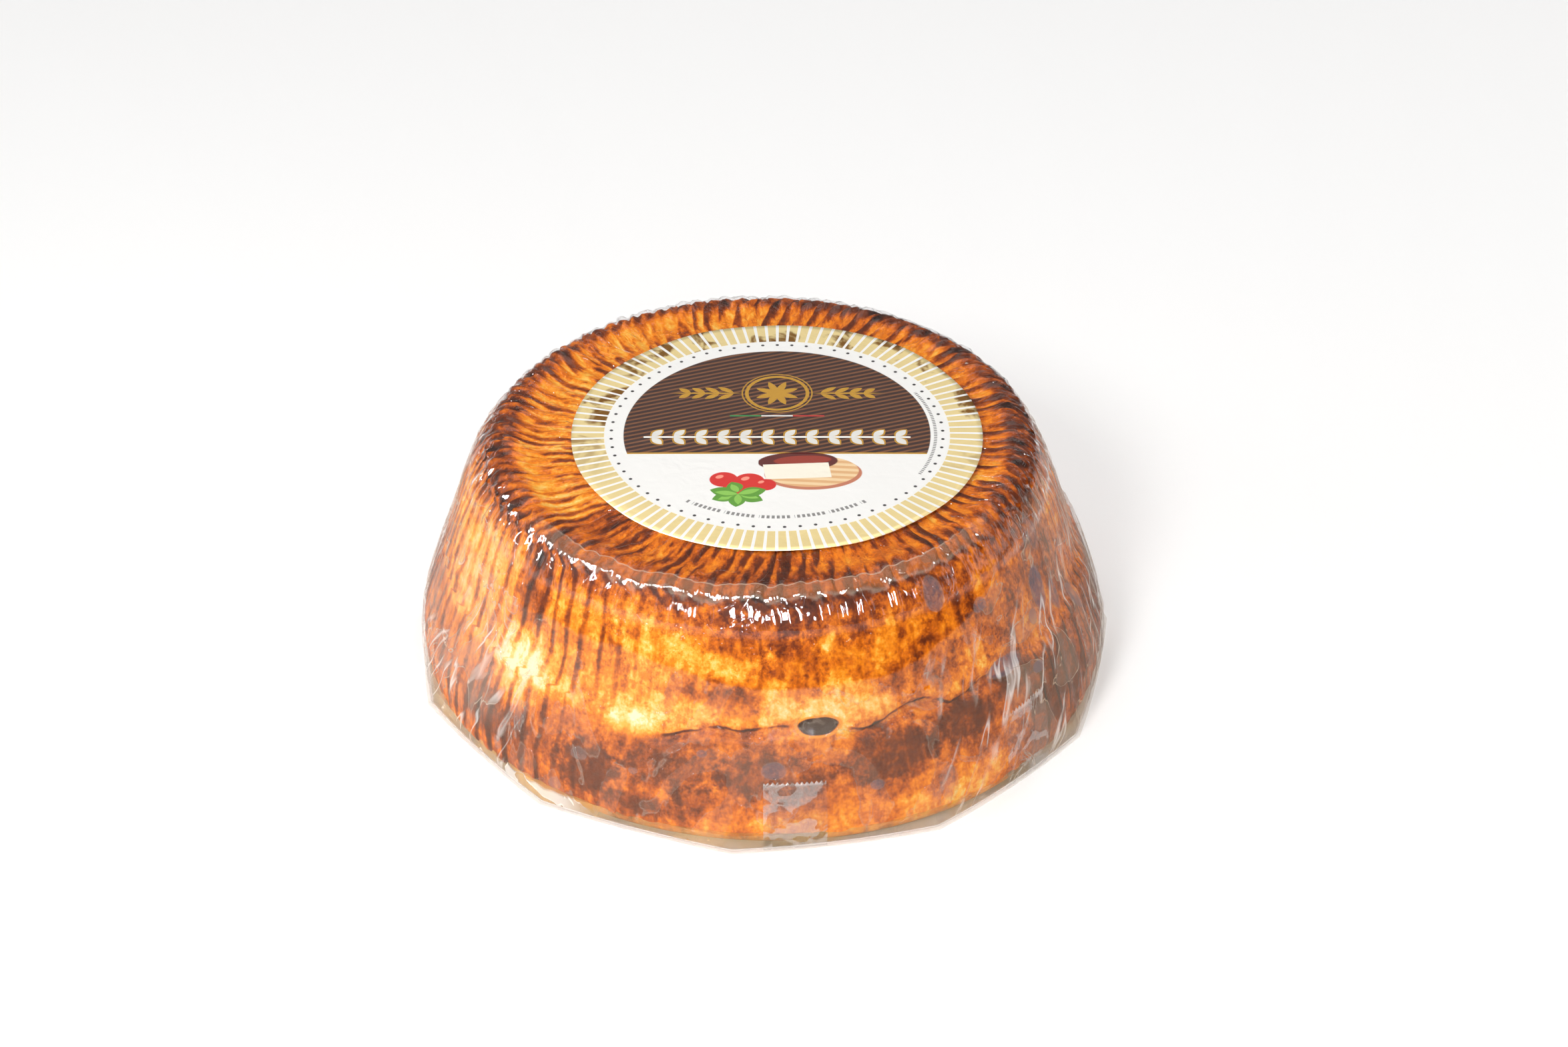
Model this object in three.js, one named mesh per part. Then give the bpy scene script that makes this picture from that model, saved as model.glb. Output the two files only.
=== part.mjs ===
// A baked ricotta wheel, shrink-wrapped in clear film, with a round paper label on top.
//
// The cheese is one solid. It was turned out of a basket mould, so its upper tier tapers to a
// rounded shoulder and a flat top, and it sagged as it baked, so a fuller lower tier stands out
// under a seam. A clear film cover hangs over it and meets a film base whose pleats pull the
// outline into corners. A little whey lies in the corner between the cheese's foot and the film,
// and two strips of clear tape, cut on a toothed blade, hold the film's folded ends.
//
// Millimetres, +Z up. The origin is the centre of the underside, and -Y is the front. Angles go
// round from the front, positive towards +X.

import * as THREE from 'three';

// The cheese
const FILM_THICKNESS = 0.3;
const GAP = 0.35; // between neighbouring pieces
const FOOT_HEIGHT = FILM_THICKNESS + GAP; // the underside of the cheese, over the film base
const TOP_HEIGHT = 77; // the flat top, over the ground
const TOP_RADIUS = 76; // where the flat top meets the shoulder
const SHOULDER_RADIUS = 90; // where the shoulder meets the wall
const SHOULDER_DROP = 10; // how far the shoulder comes down
const WAIST_RADIUS = 100.5; // the wall's lower end, at the seam between the tiers
const WAIST_HEIGHT = 38;
const SEAM_DEPTH = 2.5; // how far the seam is pinched in
const SEAM_HALF_WIDTH = 2;
const BELLY_RADIUS = 108.5; // the widest ring of the lower tier
const BELLY_HEIGHT = 13;
const FOOT_ROUNDING = 7.5; // from the belly's radius in to the underside's edge

// How the sagged cheese departs from a true round
const SAG_STEP = 2.2; // the lower tier stands out this much further on its fullest side
const SAG_ANGLE = 70; // degrees
const SAG_WIDTH = 75; // degrees, to half of the step
const LOBE = 0.8; // the outline's slow in and out
const LOBE_COUNT = 3;

// The film
const PLEATS = 11; // corners of the film's outline on the ground
const PLEAT_ANGLE = -4.4; // degrees, one of those corners
const PLEAT_DEPTH = 3.2; // how far a corner stands out past the straight sides
const FILM_TUCK = 0.1; // how far the straight sides' middles lie in from the belly's radius
const BASE_LIP = 0.9; // the film base shows past the cover

// The label
const LABEL_RADIUS = 65;
const LABEL_THICKNESS = 0.3;
const LABEL_OFFSET = 5; // it was stuck on a little to the right

// The whey
const WHEY_LEVEL = 5; // its surface, over the ground

// The tape
const TAPE_WIDTH = 19;
const TAPE_THICKNESS = 0.3;
const TAPE_TEETH = 13;
const TAPE_TOOTH = 1; // how deep the blade's teeth cut
const TAPES = [
  { name: 'tape_strip_front', angle: 5.5, top: 24 },
  { name: 'tape_strip_right', angle: 47.5, top: 27 },
];

const PLEAT_STEPS = 6; // facets from one corner of the film's outline to the next
const CURVE_STEPS = 5; // facets along each curve of the profile

const ROUND_STEPS = PLEATS * PLEAT_STEPS; // facets round the wheel
const FILM_FOOT_RADIUS = BELLY_RADIUS - FILM_TUCK;

const degrees = THREE.MathUtils.degToRad;

// Outlines are lists of Vector2, with x the radius and y the height.

// The cheese from the edge of the top, down to the seam.
function upperTier() {
  const shoulder = new THREE.QuadraticBezierCurve(
    new THREE.Vector2(TOP_RADIUS, TOP_HEIGHT),
    new THREE.Vector2((TOP_RADIUS + SHOULDER_RADIUS) / 2 + 1, TOP_HEIGHT),
    new THREE.Vector2(SHOULDER_RADIUS, TOP_HEIGHT - SHOULDER_DROP),
  );
  const wall = new THREE.QuadraticBezierCurve(
    new THREE.Vector2(SHOULDER_RADIUS, TOP_HEIGHT - SHOULDER_DROP),
    new THREE.Vector2(SHOULDER_RADIUS + 4, (TOP_HEIGHT + WAIST_HEIGHT) / 2),
    new THREE.Vector2(WAIST_RADIUS, WAIST_HEIGHT + SEAM_HALF_WIDTH),
  );
  return [...shoulder.getPoints(CURVE_STEPS), ...wall.getPoints(CURVE_STEPS).slice(1)];
}

// The cheese from the seam, over the belly, to the edge of the underside.
function lowerTier() {
  const belly = new THREE.QuadraticBezierCurve(
    new THREE.Vector2(WAIST_RADIUS + 1, WAIST_HEIGHT - SEAM_HALF_WIDTH),
    new THREE.Vector2(BELLY_RADIUS, (WAIST_HEIGHT + BELLY_HEIGHT) / 2),
    new THREE.Vector2(BELLY_RADIUS, BELLY_HEIGHT),
  );
  const foot = new THREE.QuadraticBezierCurve(
    new THREE.Vector2(BELLY_RADIUS, BELLY_HEIGHT),
    new THREE.Vector2(BELLY_RADIUS, FOOT_HEIGHT),
    new THREE.Vector2(BELLY_RADIUS - FOOT_ROUNDING, FOOT_HEIGHT),
  );
  return [...belly.getPoints(CURVE_STEPS), ...foot.getPoints(CURVE_STEPS).slice(1)];
}

// An outline moved outwards by a distance, each side staying parallel to itself.
function offset(points, distance) {
  return points.map((point, i) => {
    const before = points[Math.max(i - 1, 0)];
    const after = points[Math.min(i + 1, points.length - 1)];
    const normals = [[before, point], [point, after]]
      .map(([a, b]) => new THREE.Vector2().subVectors(b, a))
      .filter((side) => side.length() > 0)
      .map((side) => side.normalize().set(-side.y, side.x));
    const middle = normals.reduce((sum, n) => sum.add(n), new THREE.Vector2()).normalize();
    return point.clone().addScaledVector(middle, distance / middle.dot(normals[0]));
  });
}

// The film's outline over the cheese at a distance from it, from the edge of the top to the
// belly and then straight down to the ground. It bridges the seam.
function filmOutline(distance) {
  const cheese = [...upperTier(), ...lowerTier()].filter((p) => p.y >= BELLY_HEIGHT);
  const tight = offset(cheese, distance);
  const edge = new THREE.Vector2(FILM_FOOT_RADIUS + distance - GAP, FOOT_HEIGHT);
  const hanging = new THREE.LineCurve(tight.at(-1), edge);
  return [...tight, ...hanging.getPoints(CURVE_STEPS).slice(1)];
}

// An outline's radius at a height.
function radiusAt(points, height) {
  const below = points.findIndex((p) => p.y <= height);
  if (below <= 0) return points.at(below).x;
  const [a, b] = [points[below - 1], points[below]];
  return THREE.MathUtils.mapLinear(height, a.y, b.y, a.x, b.x);
}

// How far the sagged cheese stands out past its round outline.
function sag(angle, height) {
  const turn = THREE.MathUtils.euclideanModulo(angle - degrees(SAG_ANGLE) + Math.PI, 2 * Math.PI);
  const side = Math.exp(-Math.LN2 * ((turn - Math.PI) / degrees(SAG_WIDTH)) ** 2);
  const top = WAIST_HEIGHT + SEAM_HALF_WIDTH;
  const low = 1 - THREE.MathUtils.smoothstep(height, top - 3 * SEAM_HALF_WIDTH, top);
  const lobes = THREE.MathUtils.smoothstep(TOP_HEIGHT - height, 0, SHOULDER_DROP);
  return SAG_STEP * side * low + LOBE * lobes * Math.sin(LOBE_COUNT * angle);
}

// How far the pleats pull the film's foot out past the cheese's outline.
function pleat(angle, height) {
  const sector = (2 * Math.PI) / PLEATS;
  const along = THREE.MathUtils.euclideanModulo(angle - degrees(PLEAT_ANGLE), sector) / sector;
  const corner = PLEAT_DEPTH * (2 * along - 1) ** 2;
  return corner * THREE.MathUtils.clamp(1 - height / BELLY_HEIGHT, 0, 1);
}

const filmShift = (angle, height) => sag(angle, height) + pleat(angle, height);

// Turns an outline about the vertical axis, starting at a pleat, then moves each point that is
// off the axis in or out by shift(), which gets its angle, its height and its place in the
// outline.
function turned(points, shift) {
  const geometry = new THREE.LatheGeometry(points, ROUND_STEPS, degrees(PLEAT_ANGLE));
  const position = geometry.rotateX(Math.PI / 2).getAttribute('position');
  for (let i = 0; i < position.count; i += 1) {
    const [x, y, z] = [position.getX(i), position.getY(i), position.getZ(i)];
    const radius = Math.hypot(x, y);
    const share = radius > 1 ? 1 + shift(Math.atan2(x, -y), z, i % points.length) / radius : 1;
    position.setXYZ(i, x * share, y * share, z);
  }
  return geometry;
}

function cheeseWheel() {
  const outline = [
    new THREE.Vector2(0, TOP_HEIGHT),
    ...upperTier(),
    new THREE.Vector2(WAIST_RADIUS - SEAM_DEPTH, WAIST_HEIGHT),
    ...lowerTier(),
    new THREE.Vector2(0, FOOT_HEIGHT),
  ];
  return turned(outline.reverse(), sag);
}

// Open underneath, where the film base closes it.
function filmCover() {
  const inside = filmOutline(GAP);
  const outside = filmOutline(GAP + FILM_THICKNESS);
  const outline = [
    new THREE.Vector2(0, TOP_HEIGHT + GAP),
    ...inside,
    ...outside.reverse(),
    new THREE.Vector2(0, TOP_HEIGHT + GAP + FILM_THICKNESS),
  ];
  return turned(outline, filmShift);
}

function filmBase() {
  const radius = FILM_FOOT_RADIUS + FILM_THICKNESS + BASE_LIP;
  const outline = [
    new THREE.Vector2(0, 0),
    new THREE.Vector2(radius, 0),
    new THREE.Vector2(radius, FILM_THICKNESS),
    new THREE.Vector2(0, FILM_THICKNESS),
  ];
  return turned(outline, (angle) => filmShift(angle, 0));
}

// A wedge of liquid between the foot of the cheese and the film.
function whey() {
  const cheese = offset(lowerTier(), GAP);
  const film = filmOutline(GAP);
  const at = (outline, height, clearance) =>
    new THREE.Vector2(radiusAt(outline, height) - clearance, height);
  const wet = cheese.filter((p) => p.y < WHEY_LEVEL && p.y > FOOT_HEIGHT);
  const foot = at(cheese, FOOT_HEIGHT, 0);
  const filmSide = [at(film, FOOT_HEIGHT, GAP), at(film, WHEY_LEVEL, GAP)];
  const outline = [foot, ...filmSide, at(cheese, WHEY_LEVEL, 0), ...wet, foot];
  return turned(outline, (angle, height, place) =>
    place === 1 || place === 2 ? filmShift(angle, height) : sag(angle, height),
  );
}

// A strip of tape, wrapped round the film's foot. It bends where the film does, and the blade's
// teeth are along its upper end.
function tapeStrip({ angle, top }) {
  const film = filmOutline(2 * GAP + FILM_THICKNESS);
  const bends = film.map((p) => p.y).filter((y) => y > FOOT_HEIGHT && y < top - 2 * TAPE_TOOTH);
  const heights = [top, ...bends, FOOT_HEIGHT];
  const rows = heights.length - 1;
  const columns = 2 * TAPE_TEETH;
  const geometry = new THREE.BoxGeometry(TAPE_WIDTH, rows, TAPE_THICKNESS, columns, rows, 1);
  const position = geometry.getAttribute('position');
  for (let i = 0; i < position.count; i += 1) {
    const across = position.getX(i);
    const column = Math.round((across / TAPE_WIDTH + 0.5) * columns);
    const row = Math.round(rows / 2 - position.getY(i));
    const z = heights[row] - (row === 0 && column % 2 === 0 ? TAPE_TOOTH : 0);
    const turn = degrees(angle) + across / BELLY_RADIUS;
    const lift = TAPE_THICKNESS / 2 + position.getZ(i);
    const radius = radiusAt(film, z) + filmShift(turn, z) + lift;
    position.setXYZ(i, radius * Math.sin(turn), -radius * Math.cos(turn), z);
  }
  return geometry;
}

function label() {
  const bottom = TOP_HEIGHT + FILM_THICKNESS + 2 * GAP;
  return new THREE.CylinderGeometry(LABEL_RADIUS, LABEL_RADIUS, LABEL_THICKNESS, ROUND_STEPS)
    .rotateX(Math.PI / 2)
    .translate(LABEL_OFFSET, 0, bottom + LABEL_THICKNESS / 2);
}

const finishes = {
  rind: new THREE.MeshStandardMaterial({ color: 0xc9772a, roughness: 0.45, metalness: 0 }),
  film: new THREE.MeshStandardMaterial({
    color: 0xf2f4f5,
    roughness: 0.08,
    metalness: 0,
    transparent: true,
    opacity: 0.15,
  }),
  paper: new THREE.MeshStandardMaterial({ color: 0xf4f1ea, roughness: 0.6, metalness: 0 }),
  tape: new THREE.MeshStandardMaterial({
    color: 0xe9e6e0,
    roughness: 0.2,
    metalness: 0,
    transparent: true,
    opacity: 0.3,
  }),
  whey: new THREE.MeshStandardMaterial({
    color: 0x8f7d4e,
    roughness: 0.1,
    metalness: 0,
    transparent: true,
    opacity: 0.7,
  }),
};

function piece(name, geometry, material) {
  const mesh = new THREE.Mesh(geometry, material);
  mesh.name = name;
  return mesh;
}

const wheel = new THREE.Group();
wheel.add(
  piece('cheese_wheel', cheeseWheel(), finishes.rind),
  piece('film_cover', filmCover(), finishes.film),
  piece('film_base', filmBase(), finishes.film),
  piece('whey', whey(), finishes.whey),
  piece('label', label(), finishes.paper),
  ...TAPES.map((tape) => piece(tape.name, tapeStrip(tape), finishes.tape)),
);

export default wheel;
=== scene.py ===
"""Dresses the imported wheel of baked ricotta: its basket-ribbed rind, the film, the label, the tape
and the whey. Lengths in the script are millimetres and angles are degrees unless a name says
otherwise. Angles go round from the front (-Y), positive towards +X."""

import math

import bpy
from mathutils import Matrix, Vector


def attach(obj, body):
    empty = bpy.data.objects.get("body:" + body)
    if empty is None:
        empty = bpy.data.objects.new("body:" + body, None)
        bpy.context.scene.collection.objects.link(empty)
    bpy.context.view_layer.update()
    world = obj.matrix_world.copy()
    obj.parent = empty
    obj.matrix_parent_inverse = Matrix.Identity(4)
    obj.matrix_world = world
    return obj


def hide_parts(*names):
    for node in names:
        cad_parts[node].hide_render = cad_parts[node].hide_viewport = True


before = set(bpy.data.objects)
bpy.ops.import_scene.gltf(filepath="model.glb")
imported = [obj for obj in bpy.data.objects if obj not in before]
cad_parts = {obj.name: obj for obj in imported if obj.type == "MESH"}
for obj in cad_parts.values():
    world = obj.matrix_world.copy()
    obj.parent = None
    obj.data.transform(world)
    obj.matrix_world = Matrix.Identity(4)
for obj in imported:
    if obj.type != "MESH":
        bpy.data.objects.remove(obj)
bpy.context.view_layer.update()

MM = 0.001

# The wheel
TOP = 77.0
SHOULDER_DROP = 10.0
SEAM_HEIGHT = 38.0
BELLY_HEIGHT = 13.0
RIB_COUNT = 96
PLEATS = 11
PLEAT_ANGLE = -4.4
PLEAT_DEPTH = 3.2
LABEL_CENTRE = 5.0
LABEL_RADIUS = 65.0
BELLY_RADIUS = 108.5
TAPE_WIDTH = 19.0
TAPE_TOOTH = 1.0
TAPE_LIFT = 0.75  # how far the tape's inner face stands off the film's outline
THIN_FILM = 0.08  # the film's and the tape's thickness
PAPER = 0.15  # the label's thickness

# Points round the wheel
RIND_COLUMNS = 768
FILM_COLUMNS = 480

# A dark oval in the crack, under the film: angle, height and half sizes.
POCKET = (10.0, 38.6, 3.5, 2.5)

# Radius and height of the rind's outline, from beside the label down to the foot.
RIND_OUTLINE = [
    (56, 76.4), (62, 76.3), (69, 76.3), (75, 77.0), (79, 77.4), (83.5, 76.2), (87.5, 72.3),
    (90.3, 67), (93.3, 60), (96.2, 51), (99.2, 42), (101.6, 34), (105, 25), (107.8, 17),
    (108.4, 11.5), (108.3, 6.5), (107.9, 2.8), (106.2, 0.65),
]
# The film's own outline. It bridges the dish round the label and hangs straight from the belly.
FILM_OUTLINE = [
    (56, 77.5), (66, 77.5), (72, 77.55), (79, 77.9), (82.9, 78.0), (90.1, 69.5),
    (91.4, 66.2), (93.9, 60.2), (96.8, 51.2), (99.8, 42.2), (103.0, 34), (105.9, 25),
    (108.4, 17), (109.0, 11.5), (109.2, 7), (108.9, 3), (108.6, 0.65),
]


# --- Outlines and turned surfaces -------------------------------------------------------------


def rounded(points, rounds=2):
    """Cuts the corners off an open outline, and keeps its ends."""
    for _ in range(rounds):
        cut = [points[0]]
        for (r0, z0), (r1, z1) in zip(points, points[1:]):
            cut.append((0.75 * r0 + 0.25 * r1, 0.75 * z0 + 0.25 * z1))
            cut.append((0.25 * r0 + 0.75 * r1, 0.25 * z0 + 0.75 * z1))
        points = [*cut, points[-1]]
    return points


def spaced(points, step):
    """The same outline with its points a step apart."""
    lengths = [0.0]
    for a, b in zip(points, points[1:]):
        lengths.append(lengths[-1] + math.dist(a, b))
    count = max(1, round(lengths[-1] / step))
    out = []
    k = 0
    for i in range(count + 1):
        at = lengths[-1] * i / count
        while k < len(points) - 2 and lengths[k + 1] < at:
            k += 1
        share = (at - lengths[k]) / (lengths[k + 1] - lengths[k])
        (r0, z0), (r1, z1) = points[k], points[k + 1]
        out.append((r0 + share * (r1 - r0), z0 + share * (z1 - z0)))
    return out


def smoothstep(value, low, high):
    share = min(max((value - low) / (high - low), 0.0), 1.0)
    return share * share * (3 - 2 * share)


def sag(angle, height):
    """How far the sagged wheel stands out past a true round."""
    turn = (angle - 70 + 180) % 360 - 180
    side = 0.5 ** ((turn / 75) ** 2)
    low = 1 - smoothstep(height, 34, 40)
    lobes = smoothstep(TOP - height, 0, SHOULDER_DROP)
    return 2.2 * side * low + 0.8 * lobes * math.sin(3 * math.radians(angle))


def pleat(angle, height):
    """How far the film's pleats pull its foot out."""
    sector = 360 / PLEATS
    along = ((angle - PLEAT_ANGLE) % sector) / sector
    corner = PLEAT_DEPTH * (2 * along - 1) ** 2
    return corner * max(0.0, 1 - height / BELLY_HEIGHT)


def film_shift(angle, height):
    return sag(angle, height) + pleat(angle, height)


def turned(name, outline, columns, shift):
    """A surface of revolution. A point on the axis closes that end, and shift() moves the rest."""
    verts, faces, rings = [], [], []
    for r, z in outline:
        start = len(verts)
        count = 1 if r == 0 else columns
        for i in range(count):
            angle = 360 * i / columns - 180
            out = r + (shift(angle, z) if r > 50 else 0)
            turn = math.radians(angle)
            verts.append((out * math.sin(turn) * MM, -out * math.cos(turn) * MM, z * MM))
        rings.append((start, count))
    for (a, na), (b, nb) in zip(rings, rings[1:]):
        for i in range(columns):
            j = (i + 1) % columns
            upper = [a] if na == 1 else [a + j, a + i]
            lower = [b] if nb == 1 else [b + i, b + j]
            faces.append(upper + lower)
    return mesh_object(name, verts, faces)


def mesh_object(name, verts, faces):
    mesh = bpy.data.meshes.new(name)
    mesh.from_pydata(verts, [], faces)
    mesh.validate()
    mesh.update()
    mesh.shade_smooth()
    obj = bpy.data.objects.new(name, mesh)
    bpy.context.scene.collection.objects.link(obj)
    return obj


# --- Arithmetic in node trees -----------------------------------------------------------------


class Field:
    """A value in a node tree. Ordinary arithmetic on it adds Math nodes."""

    def __init__(self, tree, socket):
        self.tree = tree
        self.socket = socket

    def math(self, operation, *others):
        node = self.tree.nodes.new("ShaderNodeMath")
        node.operation = operation
        for slot, value in zip(node.inputs, (self, *others)):
            feed(self.tree, slot, value)
        return Field(self.tree, node.outputs[0])

    def __add__(self, other):
        return self.math("ADD", other)

    def __radd__(self, other):
        return self.math("ADD", other)

    def __mul__(self, other):
        return self.math("MULTIPLY", other)

    def __rmul__(self, other):
        return self.math("MULTIPLY", other)

    def __sub__(self, other):
        return self.math("SUBTRACT", other)

    def __rsub__(self, other):
        return (self * -1) + other

    def __truediv__(self, other):
        return self.math("DIVIDE", other)

    def __rtruediv__(self, other):
        return self.math("POWER", -1.0) * other

    def __abs__(self):
        return self.math("ABSOLUTE")

    def least(self, other):
        return self.math("MINIMUM", other)

    def most(self, other):
        return self.math("MAXIMUM", other)

    def clamped(self):
        return self.most(0.0).least(1.0)

    def part(self):
        """What is left past the whole number."""
        return self.math("FRACT")

    def ease(self, low, high):
        """0 up to low, 1 from high on, and smooth between. Low may be the larger."""
        node = self.tree.nodes.new("ShaderNodeMapRange")
        node.interpolation_type = "SMOOTHSTEP"
        turned_round = low > high
        feed(self.tree, node.inputs["Value"], self)
        node.inputs["From Min"].default_value = min(low, high)
        node.inputs["From Max"].default_value = max(low, high)
        node.inputs["To Min"].default_value = 1.0 if turned_round else 0.0
        node.inputs["To Max"].default_value = 0.0 if turned_round else 1.0
        return Field(self.tree, node.outputs["Result"])

    def hill(self, centre, half_width, flat=0.0):
        """1 within a flat part of the half width about a centre, falling to 0 at its ends."""
        return abs(self - centre).ease(half_width, half_width * flat)


def feed(tree, slot, value):
    if isinstance(value, Field):
        tree.links.new(value.socket, slot)
    elif value is not None:
        slot.default_value = value


def vector(tree, x, y, z):
    node = tree.nodes.new("ShaderNodeCombineXYZ")
    for slot, value in zip(node.inputs, (x, y, z)):
        feed(tree, slot, value)
    return Field(tree, node.outputs[0])


def noise(place, size, detail=2.0, roughness=0.5, distortion=0.0):
    """Noise from 0 to 1 with features about a size across, over a place in millimetres."""
    node = place.tree.nodes.new("ShaderNodeTexNoise")
    feed(place.tree, node.inputs["Vector"], place)
    node.inputs["Scale"].default_value = 1 / size
    node.inputs["Detail"].default_value = detail
    node.inputs["Roughness"].default_value = roughness
    node.inputs["Distortion"].default_value = distortion
    return Field(place.tree, node.outputs[0])


class Place:
    """Where a point of the wheel is: round it, up it, and unrolled into a seamless place."""

    def __init__(self, tree, metres):
        split = tree.nodes.new("ShaderNodeSeparateXYZ")
        tree.links.new(metres, split.inputs[0])
        self.tree = tree
        self.x, self.y, self.z = (Field(tree, out) * (1 / MM) for out in split.outputs)
        self.radius = (self.x * self.x + self.y * self.y).math("SQRT")
        self.angle = self.x.math("ARCTAN2", self.y * -1) * (180 / math.pi)
        self.along = self.radius - self.z

    def unrolled(self, stretch=1.0, seed=0.0):
        """A cylinder's space, with its features drawn out along the ribs by the stretch."""
        share = 100 / self.radius.most(20.0)
        return vector(
            self.tree, self.x * share, self.y * share, self.along * (1 / stretch) + seed
        )


def rib_fields(place):
    """The basket's ribs, as how far the rind rises and how dark its line is, both 0 to 1."""
    wander = noise(place.unrolled(3.0), 9.0, 2.0) - 0.5
    wide_wander = noise(place.unrolled(1.6, 40.0), 22.0, 1.0) - 0.5
    lower = place.z.ease(38.5, 37.0)
    crown = place.z.ease(72.0, 76.0)
    slant = (place.radius - 72) * crown * 0.05
    phase = place.angle * (RIB_COUNT / 360) + slant
    phase = phase + wander * (crown * 0.5 + 0.4) + wide_wander * 1.5
    part = (phase + lower * 0.4).part()
    rise = part.ease(0.0, 0.72) * part.ease(1.0, 0.84)
    ragged = noise(place.unrolled(2.4, 90.0), 3.0, 4.0, 0.65)
    broken = noise(place.unrolled(2.2, 130.0), 7.0, 2.0, 0.55).ease(0.42, 0.56)
    reach = ragged * (crown * 0.9 + 0.55) - 0.04
    line = (1 - (0.84 - part) / reach.most(0.06)).clamped().ease(0.0, 0.75) * part.ease(1.0, 0.84)
    kept = (1 - crown) * 0.45 + 0.12
    return rise, line * (broken * (1 - kept) + kept)


def rib_strength(place):
    """How strongly the ribs show. They are faint over the front and strong at the sides."""
    patchy = noise(place.unrolled(1.6, 17.0), 16.0, 2.0)
    wall = place.z.ease(76.0, 72.0)
    front = place.angle.hill(26.0, 66.0, 0.62) * wall
    belly = place.z.ease(40.0, 36.0)
    low_right = belly * place.angle.hill(68.0, 22.0, 0.5)
    low_left = belly * place.angle.hill(-52.0, 22.0, 0.2)
    left = place.angle.hill(-70.0, 42.0, 0.6) * wall
    smooth_belly = belly * (1 - low_right) * (1 - low_left * 0.6)
    shown = (patchy * 1.5 + 0.1) * (1 - front * 0.85) * (1 - smooth_belly * 0.75)
    return (shown + low_right * 0.7 + left * 0.4).clamped()


def rope_fields(place):
    """The rim's coarse twisted ridges: where the rim is, and how far its ridges rise."""
    front = place.angle.hill(5.0, 75.0, 0.6)
    band = place.radius.hill(82.5, 7.0, 0.35) * place.z.ease(69.0, 74.0) * (1 - front * 0.7)
    wander = noise(place.unrolled(1.0, 61.0), 7.0, 3.0, 0.6) - 0.5
    twist = place.angle * (RIB_COUNT * 1.15 / 360) + place.along * 0.1 + wander * 1.8
    ridge = abs(twist.part() - 0.5) * 2
    return band, ridge.ease(0.1, 0.9)


def seam_fields(place):
    """The crack between the tiers: how far a point is above it, and how open it is there."""
    wander = noise(place.unrolled(50.0, 5.0), 9.0, 3.0) - 0.5
    course = (
        wander * 3.0
        + place.angle.hill(9.0, 9.0) * 1.5
        - place.angle.hill(18.0, 7.0) * 1.5
        + place.angle.hill(28.0, 8.0) * 2.0
        - place.angle.hill(35.5, 5.0) * 1.5
        - place.angle.ease(42.0, 54.0) * 7.0
        - place.angle.ease(-7.0, -18.0) * 4.5
        + SEAM_HEIGHT
    )
    front = place.angle.hill(16.0, 37.0, 0.8) * (1 - place.angle.hill(POCKET[0], 6.5, 0.5) * 0.8)
    elsewhere = noise(place.unrolled(50.0, 70.0), 40.0, 1.0).ease(0.45, 0.7) * 0.35
    return place.z - course, front.most(elsewhere)


# --- Relief by geometry nodes -----------------------------------------------------------------


def relief_tree(name, inputs, height):
    """A tree that moves a surface along its normals by height(place, inputs), in millimetres."""
    tree = bpy.data.node_groups.new(name, "GeometryNodeTree")
    io = tree.interface
    io.new_socket("Geometry", in_out="INPUT", socket_type="NodeSocketGeometry")
    for key in inputs:
        io.new_socket(key, in_out="INPUT", socket_type="NodeSocketFloat")
    io.new_socket("Material", in_out="INPUT", socket_type="NodeSocketMaterial")
    io.new_socket("Geometry", in_out="OUTPUT", socket_type="NodeSocketGeometry")
    enter = tree.nodes.new("NodeGroupInput")
    where = Place(tree, tree.nodes.new("GeometryNodeInputPosition").outputs[0])
    sizes = {key: Field(tree, enter.outputs[key]) for key in inputs}
    amount = height(where, sizes) * MM
    scaled = tree.nodes.new("ShaderNodeVectorMath")
    scaled.operation = "SCALE"
    normal = tree.nodes.new("GeometryNodeInputNormal")
    tree.links.new(normal.outputs[0], scaled.inputs[0])
    tree.links.new(amount.socket, scaled.inputs["Scale"])
    move = tree.nodes.new("GeometryNodeSetPosition")
    tree.links.new(enter.outputs["Geometry"], move.inputs["Geometry"])
    tree.links.new(scaled.outputs[0], move.inputs["Offset"])
    real = tree.nodes.new("GeometryNodeRealizeInstances")
    tree.links.new(move.outputs[0], real.inputs[0])
    finish = tree.nodes.new("GeometryNodeSetMaterial")
    tree.links.new(real.outputs[0], finish.inputs["Geometry"])
    tree.links.new(enter.outputs["Material"], finish.inputs["Material"])
    tree.links.new(finish.outputs[0], tree.nodes.new("NodeGroupOutput").inputs[0])
    return tree


def worked(obj, tree, **values):
    """Runs a geometry node tree on an object and keeps the result as its mesh."""
    modifier = obj.modifiers.new(tree.name, "NODES")
    modifier.node_group = tree
    for item in tree.interface.items_tree:
        key = item.name.replace(" ", "_").lower()
        if item.in_out == "INPUT" and key in values:
            modifier[item.identifier] = values[key]
    settled = obj.evaluated_get(bpy.context.evaluated_depsgraph_get())
    mesh = bpy.data.meshes.new_from_object(settled)
    obj.modifiers.clear()
    obj.data = mesh
    return obj


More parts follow.
